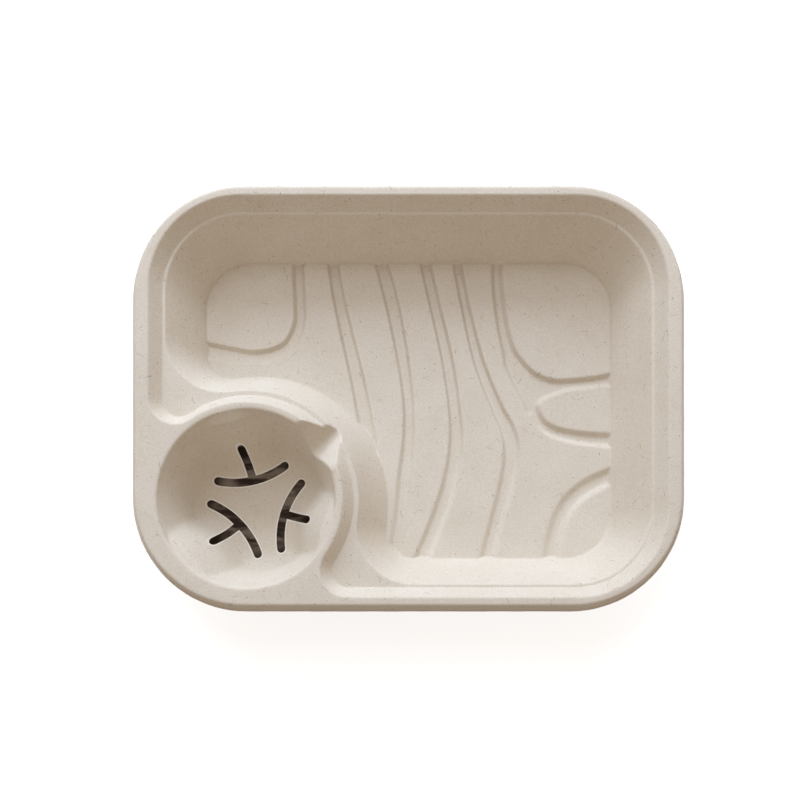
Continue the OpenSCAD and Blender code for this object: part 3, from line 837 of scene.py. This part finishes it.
# Painted highlight along the slots' cut edges
from_cut = start.node("ShaderNodeAttribute", {"attribute_name": "from_cut"}, output="Fac")
colour = colour.towards(CUT_EDGE_HIGHLIGHT, (1 - from_cut.span(0.3 * MM, 0.9 * MM)) * 0.9)

under = start.node("ShaderNodeAttribute", {"attribute_name": "underside"}, output="Fac")
axes = start.node("ShaderNodeSeparateXYZ", {}, {"Vector": place})
wires = start.maths("SINE", axes * SCREEN_TURN)
screen = wires * start.maths("SINE", axes.other("Y") * SCREEN_TURN) * under
relief = (grain * 0.05 + flecks * 0.05 + dust * 0.02 + screen * 0.03) * MM
bump = start.node("ShaderNodeBump", {}, {"Height": relief, "Strength": 1.0, "Distance": 1.0})
rough = 0.78 + (grain - 0.5) * 0.2
finish_material(start, {
    "Base Color": colour, "Roughness": rough, "Specular IOR Level": 0.35, "Normal": bump})


# The slots: three T-shaped cuts in the pulp, punched straight down through the pocket's base once
# the tray is dry. They let each panel give way as the cup goes in.

SLOTS = {
    "Count": 3,
    "First direction": math.radians(PANEL_TURN),
    "Arc distance": 13.8 * MM,
    "Arc radius": 44.0 * MM,
    "Arc half angle": math.radians(24),
    "Arc width": 4.4 * MM,
    "Stem width": 4.2 * MM,
    "Stem reach": 30.0 * MM,
    "Cut height": 60.0 * MM,
}


def new_tree(name, values):
    """A geometry tree with named inputs, its inputs as sockets, and the inputs' identifiers."""
    tree = bpy.data.node_groups.new(name, "GeometryNodeTree")
    tree.interface.new_socket("Geometry", in_out="INPUT", socket_type="NodeSocketGeometry")
    tree.interface.new_socket("Geometry", in_out="OUTPUT", socket_type="NodeSocketGeometry")
    keys = {}
    for label, value in values.items():
        kind = "NodeSocketInt" if isinstance(value, int) else "NodeSocketFloat"
        keys[label] = tree.interface.new_socket(label, in_out="INPUT", socket_type=kind).identifier
    given = tree.nodes.new("NodeGroupInput")
    return tree, {socket.name: Socket(tree, socket) for socket in given.outputs if socket.name}, keys


def run_tree(tree, geometry, keys, values, piece, material):
    """Ends a tree in plain faces of a material, runs it on a piece and keeps its mesh."""
    geometry = geometry.node("GeometryNodeRealizeInstances", {}, {"Geometry": geometry})
    geometry = geometry.node("GeometryNodeSetMaterial", {}, {
        "Geometry": geometry, "Material": material})
    tree.links.new(geometry.socket, tree.nodes.new("NodeGroupOutput").inputs["Geometry"])
    made = piece.modifiers.new(tree.name, "NODES")
    made.node_group = tree
    for name, value in values.items():
        made[keys[name]] = value
    ready = piece.evaluated_get(bpy.context.evaluated_depsgraph_get())
    piece.data = bpy.data.meshes.new_from_object(ready)
    piece.modifiers.remove(made)


punch, size, slot_keys = new_tree("slot_punch", SLOTS)
start = Socket(punch)


def vector(x, y=0.0, z=0.0):
    return start.node("ShaderNodeCombineXYZ", {}, {"X": x, "Y": y, "Z": z})


def moved(geometry, x, y=0.0, z=0.0):
    return start.node("GeometryNodeTransform", {}, {
        "Geometry": geometry, "Translation": vector(x, y, z)})


def pin(width):
    values = {"Vertices": 28, "Radius": width / 2, "Depth": size["Cut height"]}
    return start.node("GeometryNodeMeshCylinder", {}, values)


half_angle = size["Arc half angle"]
arc_centre = size["Arc distance"] + size["Arc radius"]
bend = start.node("GeometryNodeCurveArc", {"mode": "RADIUS"}, {
    "Resolution": 25, "Radius": size["Arc radius"], "Start Angle": math.pi - half_angle,
    "Sweep Angle": half_angle * 2})
blade = start.node("GeometryNodeCurvePrimitiveQuadrilateral", {}, {
    "Width": size["Arc width"], "Height": size["Cut height"]})
bend = start.node("GeometryNodeCurveToMesh", {}, {
    "Curve": moved(bend, arc_centre), "Profile Curve": blade, "Fill Caps": True})
side = size["Arc radius"] * start.maths("SINE", half_angle)
back = arc_centre - size["Arc radius"] * start.maths("COSINE", half_angle)
tip = size["Stem reach"] - size["Stem width"] / 2
ends = [moved(pin(size["Arc width"]), back, side), moved(pin(size["Arc width"]), back, side * -1)]
ends.append(moved(pin(size["Stem width"]), tip))
ends = start.node("GeometryNodeJoinGeometry", {}, {"Geometry": ends})
stem_size = vector(tip - size["Arc distance"], size["Stem width"], size["Cut height"])
stem = start.node("GeometryNodeMeshCube", {}, {"Size": stem_size})
stem = moved(stem, (tip + size["Arc distance"]) / 2)

# The three cuts stand round the pocket's centre at equal angles. Edges that are sharper than the
# sheet's own folds are cut edges, and are shaded so.
SHARP_ANGLE = math.radians(42)
centre = (POCKET[0] * MM, POCKET[1] * MM, 0)
spots = start.node("GeometryNodePoints", {}, {"Count": size["Count"], "Position": centre})
index = start.node("GeometryNodeInputIndex")
turn = index * (2 * math.pi / size["Count"]) + size["First direction"]
turn = start.node("FunctionNodeEulerToRotation", {}, {0: vector(0.0, z=turn)})
cutters = []
for cutter in (bend, stem, ends):
    cutter = start.node("GeometryNodeInstanceOnPoints", {}, {
        "Points": spots, "Instance": cutter, "Rotation": turn})
    cutters.append(start.node("GeometryNodeRealizeInstances", {}, {"Geometry": cutter}))
cut = start.node("GeometryNodeMeshBoolean", {"operation": "DIFFERENCE", "solver": "MANIFOLD"}, {
    "Mesh 1": size["Geometry"], "Mesh 2": cutters})
# The distance to the cuts, which the pulp reads for its painted highlight along them
near = start.node("GeometryNodeJoinGeometry", {}, {"Geometry": cutters})
near = start.node("GeometryNodeProximity", {"target_element": "FACES"}, {
    "Geometry": near}, "Distance")
cut = start.node("GeometryNodeStoreNamedAttribute", {"data_type": "FLOAT", "domain": "POINT"}, {
    "Geometry": cut, "Name": "from_cut", "Value": near})
angle = start.node("GeometryNodeInputMeshEdgeAngle")
sharp = start.node("FunctionNodeCompare", {"operation": "GREATER_THAN"}, {
    "A": angle, "B": SHARP_ANGLE})
cut = start.node("GeometryNodeSetShadeSmooth", {"domain": "FACE"}, {
    "Geometry": cut, "Shade Smooth": True})
cut = start.node("GeometryNodeSetShadeSmooth", {"domain": "EDGE"}, {
    "Geometry": cut, "Selection": sharp, "Shade Smooth": False})
run_tree(punch, cut, slot_keys, SLOTS, tray, pulp)

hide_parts("tray")
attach(tray, "root")


# The strands: bagasse that was not beaten fine stays in the sheet as thin, bent, darker fibres.
# They lie pressed into its surface here and there.

bagasse, start = new_material("bagasse_strand")
place = start.node("ShaderNodeTexCoord", output="Object")
place = start.node("ShaderNodeVectorMath", {"operation": "SCALE"}, {0: place, "Scale": 1000.0})
STRAND_LIGHT = (0.42, 0.31, 0.19, 1)
STRAND_DARK = (0.14, 0.09, 0.05, 1)
brown = start.mix(noise(0.2).span(0.35, 0.65), STRAND_LIGHT, STRAND_DARK)
finish_material(start, {"Base Color": brown, "Roughness": 0.8, "Specular IOR Level": 0.3})

STRANDS = {
    "Density": 5200.0,
    "Seed": 5,
    "Length": 2.6 * MM,
    "Bend": 0.6 * MM,
    "Thickness": 0.13 * MM,
    "Depth": 0.02 * MM,
    "Highest": 39.97 * MM,
    "Half length": TRAY_L / 2 * MM,
    "Half width": TRAY_W / 2 * MM,
}
# Each strand is one of four shapes, bent by these shares to one side or the other. None lies on a
# steep side, where the surface looks up by less than this share.
STRAND_BENDS = (-1.0, -0.35, 0.5, 1.2)
LEAST_UPWARD = 0.3
scatter, size, strand_keys = new_tree("strand_scatter", STRANDS)
start = Socket(scatter)


def random_number(low, high, seed):
    """A number of its own for each strand."""
    made = start.node("FunctionNodeRandomValue", {"data_type": "FLOAT"}, {"Seed": seed})
    made = made.other([one.type for one in made.socket.node.outputs].index("VALUE"))
    limits = [one for one in made.socket.node.inputs if one.type == "VALUE"]
    limits[0].default_value = low
    limits[1].default_value = high
    return made


upward = start.node("GeometryNodeInputNormal")
upward = start.node("ShaderNodeSeparateXYZ", {}, {"Vector": upward}, "Z")
upward = start.node("FunctionNodeCompare", {"operation": "GREATER_THAN"}, {
    "A": upward, "B": LEAST_UPWARD})
spots = start.node("GeometryNodeDistributePointsOnFaces", {"distribute_method": "RANDOM"}, {
    "Mesh": size["Geometry"], "Selection": upward, "Density": size["Density"],
    "Seed": size["Seed"]})
ring = start.node("GeometryNodeCurvePrimitiveCircle", {"mode": "RADIUS"}, {
    "Resolution": 6, "Radius": size["Thickness"] / 2})
shapes = []
for share in STRAND_BENDS:
    strand = start.node("GeometryNodeCurveQuadraticBezier", {}, {
        "Resolution": 9, "Start": vector(size["Length"] * -0.5), "End": vector(size["Length"] * 0.5),
        "Middle": vector(size["Length"] * (0.2 * share), size["Bend"] * share)})
    strand = start.node("GeometryNodeCurveToMesh", {}, {
        "Curve": strand, "Profile Curve": ring, "Fill Caps": True})
    strand = moved(strand, 0.0, z=size["Depth"] * -1)
    shapes.append(start.node("GeometryNodeGeometryToInstance", {}, {"Geometry": strand}))
shapes = start.node("GeometryNodeJoinGeometry", {}, {"Geometry": shapes})
spin = vector(0.0, z=random_number(0.0, 2 * math.pi, 1))
spin = start.node("FunctionNodeEulerToRotation", {}, {0: spin})
spin = start.node("FunctionNodeRotateRotation", {"rotation_space": "LOCAL"}, {
    "Rotation": spots.other("Rotation"), "Rotate By": spin})
stretch = vector(random_number(0.4, 1.5, 2), 1.0, 1.0)
choice = start.node("FunctionNodeFloatToInt", {"rounding_mode": "FLOOR"}, {
    "Float": random_number(0.0, 3.99, 3)})
strands = start.node("GeometryNodeInstanceOnPoints", {}, {
    "Points": spots, "Instance": shapes, "Pick Instance": True, "Instance Index": choice,
    "Rotation": spin, "Scale": stretch})

# None of them stands above the flange or out past the lip
strands = start.node("GeometryNodeRealizeInstances", {}, {"Geometry": strands})
here = start.node("GeometryNodeInputPosition")
for operation, side in (("MINIMUM", 1), ("MAXIMUM", -1)):
    reach_x = size["Half length"] * side
    reach_y = size["Half width"] * side
    limit = vector(reach_x, reach_y, size["Highest"] * max(side, 0))
    here = start.node("ShaderNodeVectorMath", {"operation": operation}, {0: here, 1: limit})
strands = start.node("GeometryNodeSetPosition", {}, {"Geometry": strands, "Position": here})
strand_piece = bpy.data.objects.new("strands", tray.data.copy())
bpy.context.scene.collection.objects.link(strand_piece)
run_tree(scatter, strands, strand_keys, STRANDS, strand_piece, bagasse)

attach(strand_piece, "root")


# The photographer's table: a plain pale board, painted matt. It looks white to the camera. Under
# the pocket's base it is dark and streaky instead, for the deep shade that the slots show.

BOARD_HALF = 4.0
board_corners = [(-BOARD_HALF, -BOARD_HALF, 0), (BOARD_HALF, -BOARD_HALF, 0)]
board_corners += [(BOARD_HALF, BOARD_HALF, 0), (-BOARD_HALF, BOARD_HALF, 0)]
board_mesh = bpy.data.meshes.new("floor")
board_mesh.from_pydata(board_corners, [], [(0, 1, 2, 3)])
board = bpy.data.objects.new("floor", board_mesh)
# A hair lower than the tray's foot, so that the two never share a plane
board.location.z = -0.02 * MM
bpy.context.scene.collection.objects.link(board)
board_paint, start = new_material("floor")
place = start.node("ShaderNodeTexCoord", output="Object")
SHADED_BOARD = (0.03, 0.021, 0.015, 1)
STREAK_DARK = (0.005, 0.0035, 0.0025, 1)
STREAK_LIGHT = (0.1, 0.076, 0.057, 1)
# Distances from the pocket's centre between which the shade, and its streaks, fade out
SHADE_EDGE = (0.0327, 0.037)
STREAK_EDGE = (0.019, 0.029)
from_pocket = start.node("ShaderNodeVectorMath", {"operation": "DISTANCE"}, {
    0: place, 1: centre}, "Value")
open_board = from_pocket.span(*SHADE_EDGE)


def seen_rays():
    """1 for rays from the camera and for those that a glossy or clear surface sends on, else 0."""
    path = start.node("ShaderNodeLightPath", output="Is Camera Ray")
    clear = start.maths("MAXIMUM", path.other("Is Glossy Ray"), path.other("Is Transmission Ray"))
    return start.maths("MAXIMUM", path, clear)


seen = seen_rays()
streaks = start.node("ShaderNodeVectorMath", {"operation": "MULTIPLY"}, {
    0: place, 1: (70.0, 260.0, 1.0)})
streaks = start.node("ShaderNodeTexNoise", {}, {"Vector": streaks, "Scale": 1.0, "Detail": 2.0})
shade = start.mix(open_board, SHADED_BOARD, (0.5, 0.5, 0.5, 1))
streaks = streaks.span(0.38, 0.62) * (1 - from_pocket.span(*STREAK_EDGE))
glow = start.mix(streaks, STREAK_DARK, STREAK_LIGHT)
glow = start.mix(open_board, glow, (0.8, 0.8, 0.8, 1))
glow = start.mix(seen, (0, 0, 0, 1), glow)
finish_material(start, {
    "Base Color": shade, "Roughness": 0.9, "Specular IOR Level": 0.0, "Emission Color": glow,
    "Emission Strength": 1.0})
board_mesh.materials.append(board_paint)


# The light: daylight from a wide window low behind the tray and from a smaller, higher patch of
# sky, both soft. A warm fill from the room comes from all round.

DAYLIGHT = (0.87, 1.0, 1.19)


def lamp(name, energy, location, **shape):
    """A soft lamp that points at the tray."""
    made = bpy.data.lights.new(name, "AREA")
    made.energy = energy
    made.color = DAYLIGHT
    for key, value in shape.items():
        setattr(made, key, value)
    hung = bpy.data.objects.new(name, made)
    hung.location = location
    hung.rotation_euler = Vector(location).to_track_quat("Z", "Y").to_euler()
    bpy.context.scene.collection.objects.link(hung)


lamp("window", energy=21.5, location=(-0.12, 1.37, 0.81), shape="RECTANGLE", size=2.2, size_y=0.7)
lamp("sky", energy=5.5, location=(-0.32, 0.86, 1.311), shape="DISK", size=0.7)

world = bpy.data.worlds.new("studio")
world.use_nodes = True
world.node_tree.nodes.clear()
start = Socket(world.node_tree)
ROOM_FILL = (0.412, 0.336, 0.268, 1)
around = start.mix(seen_rays(), ROOM_FILL, (1, 1, 1, 1))
around = start.node("ShaderNodeBackground", {}, {"Color": around, "Strength": 1.0})
end = world.node_tree.nodes.new("ShaderNodeOutputWorld")
world.node_tree.links.new(around.socket, end.inputs["Surface"])
bpy.context.scene.world = world


# The camera: straight above the tray's front edge, about half a metre up, and looking straight
# down. Its shift brings the tray to where the photo has it.

camera_data = bpy.data.cameras.new("camera")
camera_data.sensor_width = 36.0
camera_data.lens = 40.2
camera_data.shift_x = -0.0106
camera_data.shift_y = 0.24
camera = bpy.data.objects.new("camera", camera_data)
camera.location = (0, -0.0944, 0.470)
bpy.context.scene.collection.objects.link(camera)
bpy.context.scene.camera = camera
bpy.context.scene.view_settings.view_transform = "Standard"
